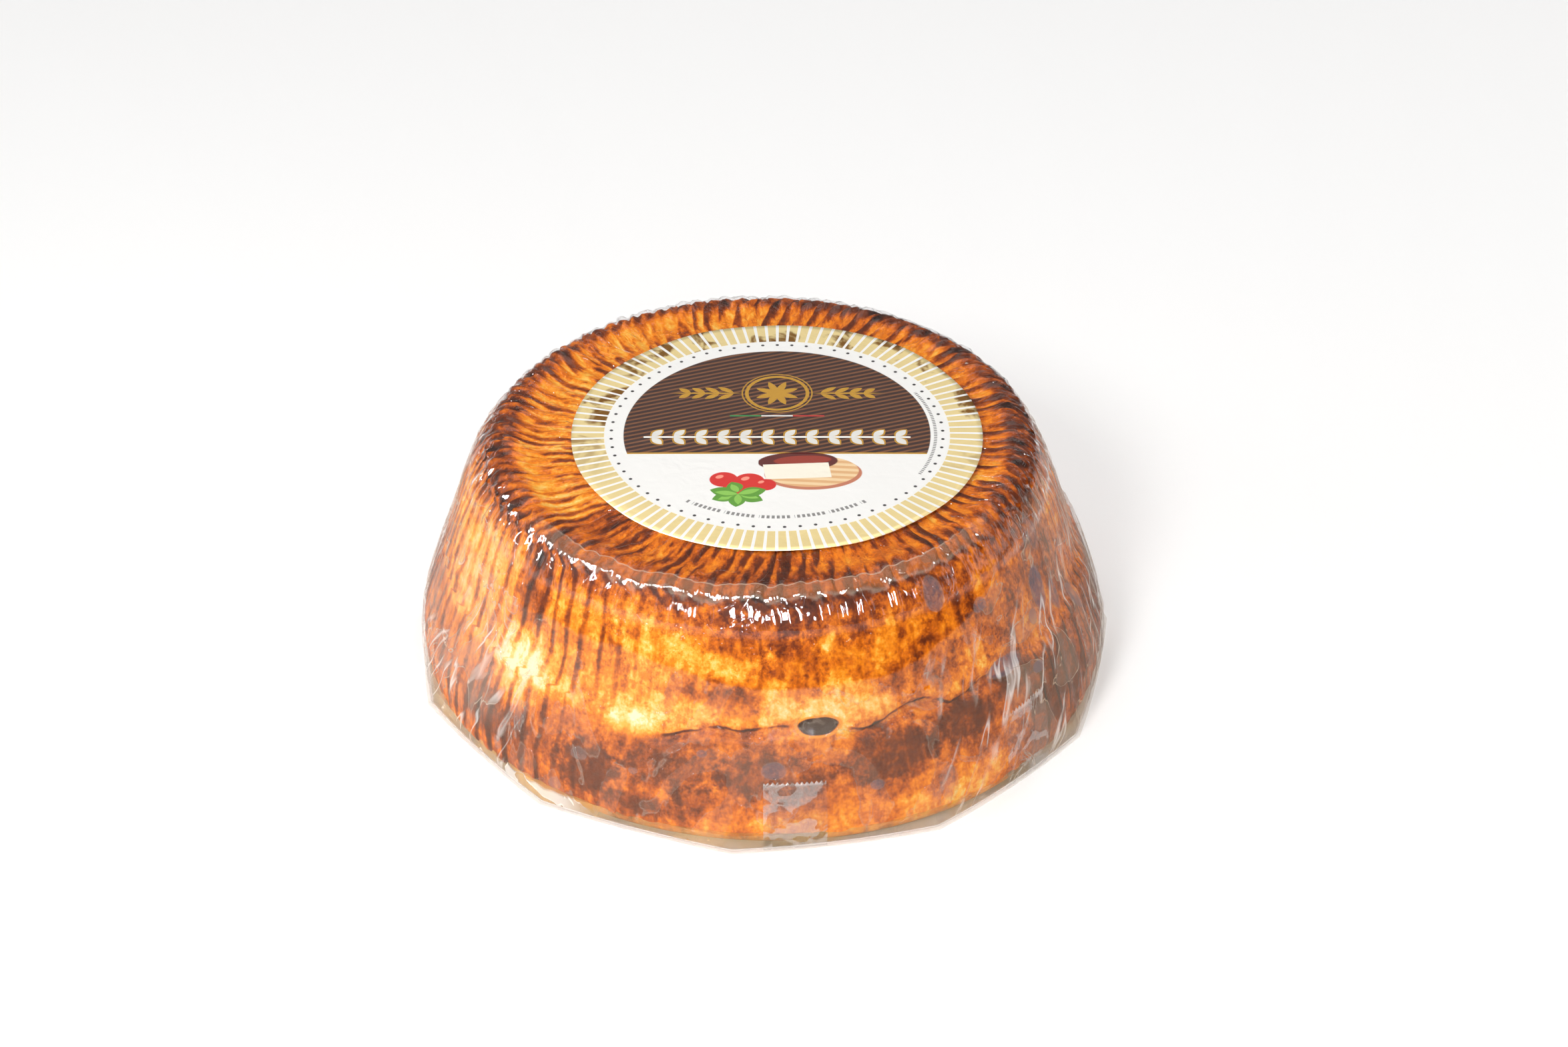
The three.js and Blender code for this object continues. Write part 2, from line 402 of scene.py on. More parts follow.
def rind_height(place, size):
    """The rind's relief: its ribs, the rope round the rim, its lumps and the seam."""
    rise, line = rib_fields(place)
    strength = rib_strength(place)
    band, ridge = rope_fields(place)
    outside = place.radius.ease(58.0, 62.0) * place.z.ease(1.0, 6.0)
    ribs = (rise * 0.8 - line * 0.35) * (strength * 0.75 + 0.25) * (1 - band * 0.5)
    rope = band * (ridge * 0.9 + 0.4) - place.radius.hill(71.0, 7.0, 0.2) * 0.8
    lumps = noise(place.unrolled(1.0, 3.0), 14.0, 5.0, 0.62) - 0.5
    above, open_here = seam_fields(place)
    cleft = above.hill(-0.6, 2.0, 0.1) * open_here
    lip = above.hill(3.0, 4.0, 0.2) * open_here
    seam = lip * 0.35 - cleft
    return (
        (ribs + rope * place.z.ease(60.0, 70.0)) * size["Rib Height"] + lumps * size["Lump Height"]
    ) * outside + seam * size["Seam Depth"]


def rim_fold(place):
    """The fold of slack film that runs along the rim, and its two edges, which are painted as
    highlights, each 0 to 1.
    """
    wander = noise(place.unrolled(50.0, 25.0), 14.0, 2.0) - 0.5
    shown = place.angle.hill(0.0, 62.0, 0.6) * place.z.ease(71.0, 74.0)
    off = place.radius + wander * 4.0 - 84.3
    edges = off.hill(2.0, 0.55) * 0.7 + off.hill(-1.9, 0.45)
    return off.hill(0.0, 2.4, 0.5) * shown, edges * shown


def loose_folds(place):
    """Patches where the loose film lies double, and their crisp edges, each 0 to 1."""
    lie = noise(place.unrolled(1.8, 77.0), 19.0, 3.0, 0.5, 1.2)
    patch = lie.ease(0.51, 0.52)
    edge = (1 - abs(lie - 0.515) * 110).clamped()
    wedge_left = place.angle - place.z * 0.3 - 31.5
    wedge_right = place.angle - place.z * 0.62 - 35.5
    low = place.z.ease(23.0, 21.0)
    wedge = wedge_left.ease(-0.1, 0.1) * wedge_right.ease(0.1, -0.1) * low
    sides = wedge_left.hill(0.0, 0.35).most(wedge_right.hill(0.0, 0.3)) * low
    return patch.most(wedge), edge.most(sides)


def painted_crease_glints(place):
    """Painted highlights: thin bright lines along the creases that lean across the loose film, low
    down and at the sides.
    """
    lean = place.angle * 1.8 - place.z * 0.45
    lie = noise(vector(place.tree, lean, place.z * 0.2, 31.0), 8.0, 2.0, 0.5) - 0.5
    here = noise(vector(place.tree, lean, place.z * 0.5, 67.0), 11.0, 1.0).ease(0.44, 0.58)
    lines = (1 - abs(lie) * 30).clamped() * here
    right = place.angle.hill(60.0, 34.0, 0.7) * place.z.hill(26.0, 34.0, 0.5)
    left = place.angle.hill(-72.0, 34.0, 0.6) * place.z.hill(24.0, 30.0, 0.5)
    behind = abs(place.angle).ease(95.0, 120.0) * place.z.hill(20.0, 26.0, 0.5) * 0.5
    return lines * (right + left + behind).least(1.0)


def film_height(place, size):
    """The film's relief: taut over the ribs and the shoulder, and slack low down."""
    rise = rib_fields(place)[0]
    strength = rib_strength(place)
    band, ridge = rope_fields(place)
    outside = place.radius.ease(71.0, 77.0) * place.z.ease(1.0, 6.0)
    shoulder = place.z.hill(72.5, 6.5, 0.6)
    drawn = (noise(place.unrolled(14.0, 19.0), 4.2, 1.0) - 0.5) * shoulder
    ribs = rise * (strength * 0.75 + 0.25).most(shoulder * 0.5) * (1 - band * 0.5)
    ribs = ribs + drawn * 3.2 + band * (ridge * 0.9 + 0.4)
    lumps = noise(place.unrolled(1.0, 3.0), 14.0, 5.0, 0.62) - 0.5
    crease = noise(place.unrolled(3.5, 60.0), 8.0, 2.0, 0.5, 1.2) - 0.5
    ripples = abs(crease) * -3 + 0.5
    slack = place.z.ease(32.0, 6.0)
    wrinkles = ripples * (slack * 1.6 + 0.2)
    return (
        ribs * size["Rib Height"]
        + lumps * (1 - shoulder * 0.8) * (1 - place.z.ease(60.0, 50.0) * 0.5) * size["Lump Height"]
        + (wrinkles + rim_fold(place)[0] * 1.6) * size["Wrinkle Height"]
    ) * outside


# --- Shader helpers ---------------------------------------------------------------------------


def tone(code):
    """A colour from its six hexadecimal digits, as the renderer's linear values."""
    parts = [int(code[i : i + 2], 16) / 255 for i in (0, 2, 4)]
    return (*[p / 12.92 if p < 0.04045 else ((p + 0.055) / 1.055) ** 2.4 for p in parts], 1.0)


def new_material(name):
    material = bpy.data.materials.new(name)
    material.use_nodes = True
    return material, material.node_tree, material.node_tree.nodes["Principled BSDF"]


def object_place(tree):
    return Place(tree, tree.nodes.new("ShaderNodeTexCoord").outputs["Object"])


def ramp(value, *stops):
    """A colour for a value, from (place, hexadecimal digits) stops."""
    node = value.tree.nodes.new("ShaderNodeValToRGB")
    feed(value.tree, node.inputs[0], value)
    points = node.color_ramp.elements
    while len(points) < len(stops):
        points.new(0.5)
    for point, (at, code) in zip(points, stops):
        point.position = at
        point.color = tone(code)
    return Field(value.tree, node.outputs[0])


def mixed(share, first, second):
    """Two colours mixed. A colour is a field or its hexadecimal digits."""
    tree = share.tree
    node = tree.nodes.new("ShaderNodeMix")
    node.data_type = "RGBA"
    feed(tree, node.inputs["Factor"], share)
    for slot, colour in ((node.inputs[6], first), (node.inputs[7], second)):
        feed(tree, slot, colour if isinstance(colour, Field) else tone(colour))
    return Field(tree, node.outputs[2])


def bumped(tree, height, distance, strength=1.0):
    """A normal from a height of 0 to 1 that stands for a distance."""
    node = tree.nodes.new("ShaderNodeBump")
    node.inputs["Strength"].default_value = strength
    node.inputs["Distance"].default_value = distance * MM
    feed(tree, node.inputs["Height"], height)
    return Field(tree, node.outputs[0])


def shader_group(name, inputs, outputs, build):
    """A shader node group. build(tree, fields by input name) gives its outputs by name."""
    group = bpy.data.node_groups.new(name, "ShaderNodeTree")
    for key, kind in inputs.items():
        group.interface.new_socket(key, in_out="INPUT", socket_type=kind)
    for key, kind in outputs.items():
        group.interface.new_socket(key, in_out="OUTPUT", socket_type=kind)
    enter = group.nodes.new("NodeGroupInput")
    leave = group.nodes.new("NodeGroupOutput")
    fields = {key: Field(group, enter.outputs[key]) for key in inputs}
    for key, value in build(group, fields).items():
        feed(group, leave.inputs[key], value)
    return group


def placed(tree, group, output=0, **values):
    """Places a group in a material with its own values, and gives one of its outputs."""
    node = tree.nodes.new("ShaderNodeGroup")
    node.node_tree = group
    for key, value in values.items():
        feed(tree, node.inputs[key.replace("_", " ").title()], value)
    return Field(tree, node.outputs[output])


NUMBER = "NodeSocketFloat"


def spot_group():
    """A soft-edged oval on the wheel's side. The edge's roughness comes in from outside."""

    def build(tree, given):
        place = object_place(tree)
        across = (place.angle - given["Angle"]) / given["Half Width"]
        up = (place.z - given["Height"]) / given["Half Height"]
        off = (across * across + up * up).math("SQRT") + given["Roughness"]
        mask = (1 - off) / given["Softness"] + 0.5
        return {"Mask": mask.clamped().ease(0.0, 1.0)}

    keys = ("Angle", "Height", "Half Width", "Half Height", "Softness", "Roughness")
    return shader_group("Spot", dict.fromkeys(keys, NUMBER), {"Mask": NUMBER}, build)


def grain_group():
    """Fine mottling that rind, paper and whey share, at a size of its own in each."""

    def build(tree, given):
        place = object_place(tree)
        size = given["Size"]
        at = vector(tree, place.x / size, place.y / size, place.z / size)
        fine = noise(at, 1.0, 4.0, 0.65)
        return {"Grain": fine, "Flecks": fine.ease(0.6, 0.72)}

    return shader_group("Grain", {"Size": NUMBER}, {"Grain": NUMBER, "Flecks": NUMBER}, build)


def crinkle_group():
    """The fine creases of a thin sheet: film and tape."""

    def build(tree, given):
        place = object_place(tree)
        size = given["Size"]
        at = vector(tree, place.x / size, place.y / size, place.z / size)
        folds = abs(noise(at, 1.0, 3.0, 0.55, 1.4) - 0.5) * 2
        return {"Height": (1 - folds).ease(0.55, 1.0)}

    return shader_group("Crinkle", {"Size": NUMBER}, {"Height": NUMBER}, build)


SPOT = spot_group()
GRAIN = grain_group()
CRINKLE = crinkle_group()


def spots(tree, entries, softness=0.9, roughness=0.7):
    """The sum of several ovals, each (angle, height, half width, half height, amount)."""
    rough = (noise(object_place(tree).unrolled(1.2, 8.0), 5.0, 5.0, 0.7) - 0.5) * roughness
    total = None
    for angle, height, half_width, half_height, amount in entries:
        mask = placed(
            tree,
            SPOT,
            angle=angle,
            height=height,
            half_width=half_width,
            half_height=half_height,
            softness=softness,
            roughness=rough,
        )
        total = mask * amount if total is None else total + mask * amount
    return total


# --- The rind ---------------------------------------------------------------------------------

SCORCHED = [
    (-48, 61, 4, 12, 0.26), (-46, 76, 5, 2, 0.18), (-3, 66, 9, 7, 0.2), (7, 58, 5, 10, 0.16),
    (-8, 48, 6, 5, 0.18), (-4, 46, 5, 5, 0.16), (30, 50, 9, 7, 0.16), (35, 63, 10, 9, 0.16),
    (22, 70, 6, 5, 0.14), (58, 58, 16, 16, 0.12), (-17, 70, 4, 6, 0.14), (17, 60, 4, 9, 0.12),
    (-52, 20, 9, 9, 0.16), (60, 22, 9, 11, 0.14), (50, 34, 6, 4, 0.14), (8, 70, 5, 4, 0.14),
    (4, 76.6, 42, 4, 0.14),
]
# The lower tier's dark patches, which have ragged edges.
SCORCHED_LOW = [
    (-30, 18, 5.5, 8, 0.22), (-15, 26, 8.5, 8, 0.2), (2, 24, 9, 7, 0.2), (22, 27, 8, 7, 0.24),
    (36, 30, 9, 5, 0.16), (-18, 11, 9, 4, 0.12), (30, 13, 3, 5, 0.2), (-11, 16, 3, 5, 0.16),
    (5, 14, 3, 4, 0.12), (95, 20, 12, 9, 0.18), (130, 25, 9, 7, 0.2), (-120, 22, 11, 8, 0.18),
    (-160, 18, 9, 8, 0.2), (170, 26, 8, 6, 0.18),
]
PALE = [
    (-48, 36, 6, 13, -0.3), (-30, 38, 16, 6, -0.13), (-22, 35, 6, 3.5, -0.2), (60, 46, 7, 5, -0.14),
    (14, 8, 22, 6, -0.16), (37, 11, 8, 5, -0.14), (-6, 43, 12, 4, -0.12), (2, 48, 5, 5, -0.08),
    (12, 43, 10, 4, -0.12), (-64, 50, 14, 22, -0.06), (48, 27, 6, 6, -0.1), (-15, 58, 7, 8, -0.06),
]


def rind_bake_and_shade(tree, place):
    """How far the rind is baked, from 0 for pale curd to 1 for scorched, with painted shade in the
    crack added in.
    """
    line = rib_fields(place)[1]
    strength = rib_strength(place)
    band, ridge = rope_fields(place)
    broad = noise(place.unrolled(1.4, 11.0), 26.0, 2.0, 0.5) - 0.5
    mottle = noise(place.unrolled(1.2, 33.0), 6.0, 6.0, 0.72) - 0.5
    dashes = noise(place.unrolled(2.8, 21.0), 2.4, 4.0, 0.66) - 0.5
    islands = noise(place.unrolled(1.2, 52.0), 4.5, 5.0, 0.68).ease(0.53, 0.57)
    fine = placed(tree, GRAIN, size=1.6) - 0.5
    flecks = placed(tree, GRAIN, output=1, size=4.0)
    inner = place.radius.ease(80.0, 76.0) * place.z.ease(72.0, 75.0)
    shoulder = place.radius.hill(88.0, 4.5, 0.3) * place.z.hill(73.0, 6.0, 0.4)
    far = abs(place.angle - 140).ease(110.0, 50.0)
    left = place.angle.hill(-64.0, 40.0, 0.4) * place.z.hill(48.0, 26.0, 0.5)
    right = place.angle.hill(72.0, 46.0, 0.5) * place.z.ease(76.0, 70.0)
    belly = place.z.ease(37.0, 33.0)
    crown = place.z.ease(72.0, 76.0)
    above, open_here = seam_fields(place)
    # Painted shade: the crack is painted dark brown and the rind round it a little darker, for the
    # shade in the cleft between the tiers.
    frayed = noise(place.unrolled(6.0, 44.0), 6.0, 3.0)
    crack = above.hill(-0.5, 1.0, 0.1) * open_here.ease(0.4, 0.95) * frayed.ease(0.3, 0.55)
    crack = crack * (1 - place.angle.ease(30.0, 44.0) * 0.7)
    crack_painted_shade = above.hill(-2.0, 6.0, 0.1) * open_here
    bake_and_shade = (
        broad * 0.42
        + mottle * (1 - crown * 0.3) * (1 - left * 0.4) * (1 - belly * 0.35) * 0.95
        + dashes * (1 - crown * 0.75) * (1 - left * 0.5) * 0.5
        + fine * 0.4
        + islands * (1 - belly * 0.5) * 0.1
        + flecks * 0.08
        + line * (strength * (crown * 0.1 + 0.32) + 0.03)
        + band * ((1 - ridge) * 0.14 + 0.14)
        + shoulder * 0.12
        - inner * 0.06
        + far * 0.1
        - left * 0.08
        + right * 0.04
        + belly * 0.15
        + crack_painted_shade * 0.05
        + crack * 0.5
        + 0.39
    )
    bake_and_shade = bake_and_shade + spots(tree, SCORCHED, 0.6, 1.2) + spots(tree, PALE, 0.9, 1.6)
    bake_and_shade = bake_and_shade + spots(tree, SCORCHED_LOW, 0.6, 1.9)
    return bake_and_shade.least(0.76) + (bake_and_shade - 0.76).most(0.0).least(0.6) * 0.45


def rind_material():
    material, tree, shader = new_material("baked_rind")
    place = object_place(tree)
    angle, height, half_width, half_height = POCKET
    pocket = spots(tree, [(angle, height, half_width, half_height, 1.0)], 0.12, 0.06)
    edge = spots(tree, [(angle, height, half_width * 1.22, half_height * 1.3, 1.0)], 0.12, 0.06)
    bake_and_shade = rind_bake_and_shade(tree, place) * (1 - edge) + edge * 0.36 * (1 - pocket) + pocket * 0.97
    colour = ramp(
        bake_and_shade,
        (0.0, "fff2c8"), (0.12, "fedf8e"), (0.26, "ffbe46"), (0.4, "f88f12"),
        (0.53, "da6c08"), (0.66, "a84a06"), (0.79, "6e2d07"), (0.92, "3c1806"), (1.0, "1c0c06"),
    )
    pores = placed(tree, GRAIN, size=1.1)
    pits = placed(tree, GRAIN, size=3.4)
    feed(tree, shader.inputs["Base Color"], colour)
    feed(tree, shader.inputs["Roughness"], pits * 0.3 + 0.4)
    feed(tree, shader.inputs["Normal"], bumped(tree, pores * 0.35 + pits * 0.65, 0.45))
    shader.inputs["Specular IOR Level"].default_value = 0.04
    shader.inputs["Subsurface Weight"].default_value = 0.06
    shader.inputs["Subsurface Scale"].default_value = 0.003
    return material


def make_cheese(material):
    side = spaced(rounded(RIND_OUTLINE), 1.12)
    top = [(0, 76.4), (25, 76.4), (46, 76.4)]
    under = [(98, 0.65), (60, 0.65), (0, 0.65)]
    obj = turned("ricotta_wheel", [*top, *side, *under], RIND_COLUMNS, sag)
    names = ("Rib Height", "Lump Height", "Seam Depth")
    tree = relief_tree("rind_relief", names, rind_height)
    worked(obj, tree, rib_height=1.0, lump_height=1.4, seam_depth=2.2, material=material)
    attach(obj, "root")
    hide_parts("cheese_wheel")
    return obj


# --- The film ---------------------------------------------------------------------------------

# Air bubbles under the film: angle, height, half sizes and amount. The film over them is painted
# grey, a painted reflection.
BUBBLES = [
    (35, 69, 2.2, 4.5, 1.0), (47, 39, 4.2, 2.4, 1.0), (44.6, 60, 1.6, 2.2, 0.9),
    (62, 51, 2.4, 7.0, 1.0), (67, 44, 1.6, 5.0, 0.8), (2.2, 27, 2.0, 2.6, 0.9),
    (18.8, 20, 1.2, 1.5, 0.9), (-9.6, 31, 0.9, 1.1, 0.9), (31, 14, 1.8, 6.0, 0.3),
    (-21, 22, 0.8, 1.0, 0.7), (-31, 22, 1.5, 2.0, 0.6), (54, 33, 1.4, 1.8, 0.8),
    (58, 45, 1.2, 2.6, 0.7), (73, 37, 1.5, 4.0, 0.7), (-44, 25, 1.2, 5.0, 0.5),
    (-35, 9, 1.2, 2.0, 0.6), (-48, 12, 1.0, 2.4, 0.6), (66, 66, 2.0, 6.0, 0.6),
]


def veil_edge(place):
    """The height below which the film carries its haze and painted reflection, all the way round."""
    wander = noise(place.unrolled(30.0, 9.0), 20.0, 2.0) - 0.5
    return (
        wander * 5.0
        + place.angle.ease(0.0, -26.0) * 6.5
        + place.angle.ease(20.0, 56.0) * 14.0
        + place.angle.ease(56.0, 80.0) * 8.0
        + 50.5
    )


def film_material(name, bubbles=True):
    """Clear film: a mirror by the angle it is seen at, and a little haze where it is loose. The haze
    layer is partly the loose film's cloudiness and partly a painted reflection of the pale floor and
    surround; painted highlights and the painted grey of the bubbles go on it too.
    """
    material, tree, shader = new_material(name)
    place = object_place(tree)
    fresnel = tree.nodes.new("ShaderNodeFresnel")
    fresnel.inputs["IOR"].default_value = 1.5
    patch, edge = loose_folds(place)
    fold, fold_edge_highlights = rim_fold(place)
    creases = placed(tree, CRINKLE, size=7.0) * 0.5 + placed(tree, CRINKLE, size=2.2) * 0.2
    tight = place.z.hill(72.0, 7.0, 0.6)
    pulled = noise(place.unrolled(8.0, 14.0), 2.8, 0.5, 0.4) * tight
    normal = bumped(tree, creases * (1 - tight) * 0.2 + pulled * 1.7 + edge * 0.15, 0.9)
    feed(tree, fresnel.inputs["Normal"], normal)
    gloss = tree.nodes.new("ShaderNodeBsdfGlossy")
    gloss.inputs["Roughness"].default_value = 0.035
    feed(tree, gloss.inputs["Normal"], normal)
    clear = tree.nodes.new("ShaderNodeBsdfTransparent")
    pane = tree.nodes.new("ShaderNodeMixShader")
    back = Field(tree, tree.nodes.new("ShaderNodeNewGeometry").outputs["Backfacing"])
    front = 1 - back
    drift = (0.5 - noise(place.unrolled(0.5, 9.0), 24.0)) * 20
    right = (place.angle + drift).hill(80.0, 36.0, 0.8) * place.z.ease(76.0, 71.0)
    left = (place.angle + drift).hill(-86.0, 44.0, 0.6) * place.z.hill(42.0, 36.0, 0.6)
    sides = (left + right).least(1.0)
    # The film is glossiest where it is drawn tight. Where it clings to the wall it is dull.
    drawn = place.z.ease(63.0, 68.0)
    shine = (drawn + sides * 0.35 + 0.1).least(1.0)
    feed(tree, pane.inputs[0], Field(tree, fresnel.outputs[0]) * front * shine)
    tree.links.new(clear.outputs[0], pane.inputs[1])
    tree.links.new(gloss.outputs[0], pane.inputs[2])
    # Painted reflection: the pale layer below the veil's edge and at the sides stands partly for the
    # loose film's haze and partly for the film mirroring the pale floor and surround.
    low = (place.z - veil_edge(place)).ease(0.6, -0.6)
    # Painted highlight: a bright white line along the film's lip at the foot, and brighter film at
    # the front-left corner.
    lift = place.z.ease(1.5, 0.9) * place.radius.ease(104.0, 106.0) * 0.6
    corner = place.angle.hill(-42.0, 15.0, 0.5) * place.z.ease(7.0, 5.0)
    corner = corner * place.radius.ease(106.0, 108.0)
    lift = lift + corner * (patch * 0.3 + edge * 0.5 + 0.1)
    veil = low * 0.08 + right * 0.06 + left * 0.09 + patch * (low * 0.05 + sides * 0.05)
    # Painted highlights: thin bright lines along the creases.
    bright = painted_crease_glints(place)
    veil = veil + edge * (sides * 0.25 + low * 0.16) + bright * 0.42 + lift
    # The fold is slack film lying double; its two edges are painted highlights.
    veil = veil + fold * 0.26 + fold_edge_highlights * 0.25
    haze = mixed(right, "ead3bd", "dcbfa4")
    haze = mixed(fold, haze, "e99a62")
    haze = mixed(fold_edge_highlights, haze, "ffdcc0")
    if bubbles:
        # Painted reflection: the film over the bubbles is painted grey.
        bubble_reflections = spots(tree, BUBBLES, 0.25, 0.2)
        veil = (veil + bubble_reflections * 0.38).least(0.7)
        haze = mixed(bubble_reflections, haze, "8d8389")
    # The painted highlights of the lip, the corner and the creases are mixed towards white.
    white = (lift * 3 + bright).clamped()
    feed(tree, shader.inputs["Base Color"], mixed(white, haze, "fffaf4"))
    shader.inputs["Roughness"].default_value = 0.6
    shader.inputs["Specular IOR Level"].default_value = 0.05
    feed(tree, shader.inputs["Normal"], normal)
    surface = tree.nodes.new("ShaderNodeMixShader")
    feed(tree, surface.inputs[0], veil * front)
    tree.links.new(pane.outputs[0], surface.inputs[1])
    tree.links.new(shader.outputs[0], surface.inputs[2])
    tree.links.new(surface.outputs[0], tree.nodes["Material Output"].inputs[0])
    return material


def make_film(material):
    side = spaced(rounded(FILM_OUTLINE), 1.3)
    top = [(0, 77.5), (25, 77.5), (46, 77.5)]
    obj = turned("shrink_film", [*top, *side], FILM_COLUMNS, film_shift)
    names = ("Rib Height", "Lump Height", "Wrinkle Height")
    tree = relief_tree("film_relief", names, film_height)
    worked(obj, tree, rib_height=0.85, lump_height=1.35, wrinkle_height=0.35, material=material)
    solid = obj.modifiers.new("film_thickness", "SOLIDIFY")
    solid.thickness = THIN_FILM * MM
    solid.offset = 1.0
    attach(obj, "root")
    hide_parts("film_cover")
    return obj


# --- The label --------------------------------------------------------------------------------

# The waves round the label's edge: how high, how many and how far turned.
LABEL_WAVES = [(0.45, 3, 0.6), (0.3, 7, 2), (0.2, 11, 0)]


def label_height(x, y):
    """The label's upper face follows the film: nearly flat, with a few shallow dips."""
    r = math.hypot(x, y) / LABEL_RADIUS
    turn = math.atan2(x, -y)
    edge = sum(a * math.sin(n * turn + b) for a, n, b in LABEL_WAVES)
    return 78.35 + 0.5 * r**6 * edge - 0.1 * r**2


def make_label(material):
    verts, faces = [(LABEL_CENTRE * MM, 0, label_height(0, 0) * MM)], []
    rings, columns = 26, 216
    for ring in range(1, rings + 1):
        r = LABEL_RADIUS * (ring / rings) ** 0.8
        for i in range(columns):
            turn = 2 * math.pi * i / columns
            x, y = r * math.sin(turn), -r * math.cos(turn)
            verts.append(((x + LABEL_CENTRE) * MM, y * MM, label_height(x, y) * MM))
    for i in range(columns):
        j = (i + 1) % columns
        faces.append((0, 1 + i, 1 + j))
        for ring in range(rings - 1):
            a, b = 1 + ring * columns, 1 + (ring + 1) * columns
            faces.append((a + i, b + i, b + j, a + j))
    obj = mesh_object("round_label", verts, faces)
    obj.data.materials.append(material)
    solid = obj.modifiers.new("paper_thickness", "SOLIDIFY")
    solid.thickness = PAPER * MM
    solid.offset = -1.0
    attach(obj, "root")
    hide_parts("label")
    return obj


class Print:
    """Ink on the label: flat shapes with crisp edges, in millimetres from the label's middle."""

    EDGE = 0.12

    def __init__(self, tree):
        place = object_place(tree)
        self.tree = tree
        self.x = place.x - LABEL_CENTRE
        self.y = place.y
        self.radius = (self.x * self.x + self.y * self.y).math("SQRT")
        self.turn = self.x.math("ARCTAN2", self.y * -1) * (180 / math.pi)

    def over(self, value, limit):
        return value.ease(limit - self.EDGE, limit + self.EDGE)

    def within(self, value, limit):
        return value.ease(limit + self.EDGE, limit - self.EDGE)

    def turned_from(self, x, y, tilt):
        """Coordinates about a point, turned by a tilt in degrees."""
        c, s = math.cos(math.radians(tilt)), math.sin(math.radians(tilt))
        dx, dy = self.x - x, self.y - y
        return dx * c + dy * s, dy * c - dx * s

    def oval(self, x, y, half_width, half_height, tilt=0.0):
        u, v = self.turned_from(x, y, tilt)
        u, v = u / half_width, v / half_height
        size = min(half_width, half_height)
        return self.within((u * u + v * v).math("SQRT") * size, size)

    def leaf(self, x, y, length, half_width, tilt):
        """A pointed leaf from a point, along a tilt."""
        u, v = self.turned_from(x, y, tilt)
        share = u / length
        bulge = share * (1 - share) * 4 * half_width
        return self.over(bulge - abs(v), 0.0)

    def band(self, value, low, high):
        return self.over(value, low) * self.within(value, high)


def foil_ticks(ink):
    spoke = (ink.turn * (108 / 360)).part()
    gap = spoke.ease(0.12, 0.15) * spoke.ease(0.88, 0.85)
    return ink.over(ink.radius, 54.6) * gap


def ring_dots(ink):
    pitch = 360 / 69
    along = ((ink.turn / pitch).part() - 0.5) * (math.radians(pitch) * 52.4)
    out = ink.radius - 52.4
    return ink.within((along * along + out * out).math("SQRT"), 0.55)


def garland(ink):
    """A row of paired leaves on a stem, with an edge of another ink round it."""
    pitch = 7.0
    inside = ink.within(abs(ink.x), 42.1)
    u = ((ink.x / pitch).part() - 0.5) * pitch + 1.2
    v = abs(ink.y + 2.6)
    tilt = math.radians(50)
    along = u * math.cos(tilt) + v * math.sin(tilt)
    across = abs(v * math.cos(tilt) - u * math.sin(tilt))
    share = along / 5.6
    bulge = share * (1 - share) * 4 * 1.6
    fill = ink.over(bulge - across, 0.3) * inside
    rim = ink.over(bulge - across, -0.3) * inside
    stem = ink.within(v, 0.45) * inside
    return fill, rim, stem


def emblem(ink):
    """A rosette of petals in a ring, between two sprigs."""
    middle = 23.0
    dx, dy = ink.x, ink.y - middle
    r = (dx * dx + dy * dy).math("SQRT")
    turn = dx.math("ARCTAN2", dy) * (8 / (2 * math.pi))
    petal = abs(turn.part() - 0.5) * 2
    rosette = ink.over(7.2 - petal * 4.2 - r, 0.0)
    mask = rosette.most(ink.band(r, 9.2, 10.3)).most(ink.band(r, 11.0, 11.4))
    for side in (-1, 1):
        for step in range(4):
            x = side * (14.0 + 4.6 * step)
            for lift in (-1, 1):
                tilt = (34 * lift) if side > 0 else (180 - 34 * lift)
                mask = mask.most(ink.leaf(x, middle + 0.3 * lift, 6.0 - step * 0.5, 1.0, tilt))
        mask = mask.most(ink.oval(side * 22.5, middle, 10.0, 0.4))
    return mask


def picture(ink, colour):
    """A cut wheel of cheese on a round board, with tomatoes and basil."""
    board = ink.oval(11, -22, 14.5, 8.6, 3)
    plank = (ink.y * 0.35 + ink.x * 0.03).part().ease(0.4, 0.6)
    colour = mixed(ink.oval(11.3, -23.2, 15.2, 8.9, 3), colour, "c7795a")
    colour = mixed(board, colour, mixed(plank, "f4d3a4", "e5b27c"))
    crust = ink.oval(6.5, -16.5, 12.5, 5.2, 3) * ink.over(ink.x, -5.8)
    colour = mixed(crust, colour, "5e1a12")
    colour = mixed(ink.oval(8.0, -15.8, 9.0, 2.6, 4) * ink.over(ink.x, -4.0), colour, "9a3320")
    face = ink.band(ink.x + ink.y * 0.12, -6.6, 14.0)
    face = face * ink.band(ink.y - ink.x * 0.06, -26.2, -18.0)
    colour = mixed(face, colour, "fbf3e0")
    for x, y, r in (
        (-16.5, -26.5, 4.4), (-8.5, -27.5, 4.7), (-12.5, -30.5, 4.2), (-3.6, -29.4, 3.4),
    ):
        colour = mixed(ink.oval(x, y, r, r * 0.92), colour, "d8231c")
        colour = mixed(ink.oval(x - 1.3, y + 1.5, r * 0.3, r * 0.2, 30), colour, "ff9a84")
    for x, y, length, tilt in (
        (-12, -34.5, 8.5, 200), (-12, -34.5, 9, 165), (-12, -34.5, 8.5, -25), (-12, -34.5, 9, 15),
        (-12, -34.5, 7, 265), (-12, -33.5, 6, 110),
    ):
        colour = mixed(ink.leaf(x, y, length, 2.6, tilt), colour, "5c9a2c")
        colour = mixed(ink.leaf(x, y, length * 0.8, 1.2, tilt + 6), colour, "8cc552")
    return colour


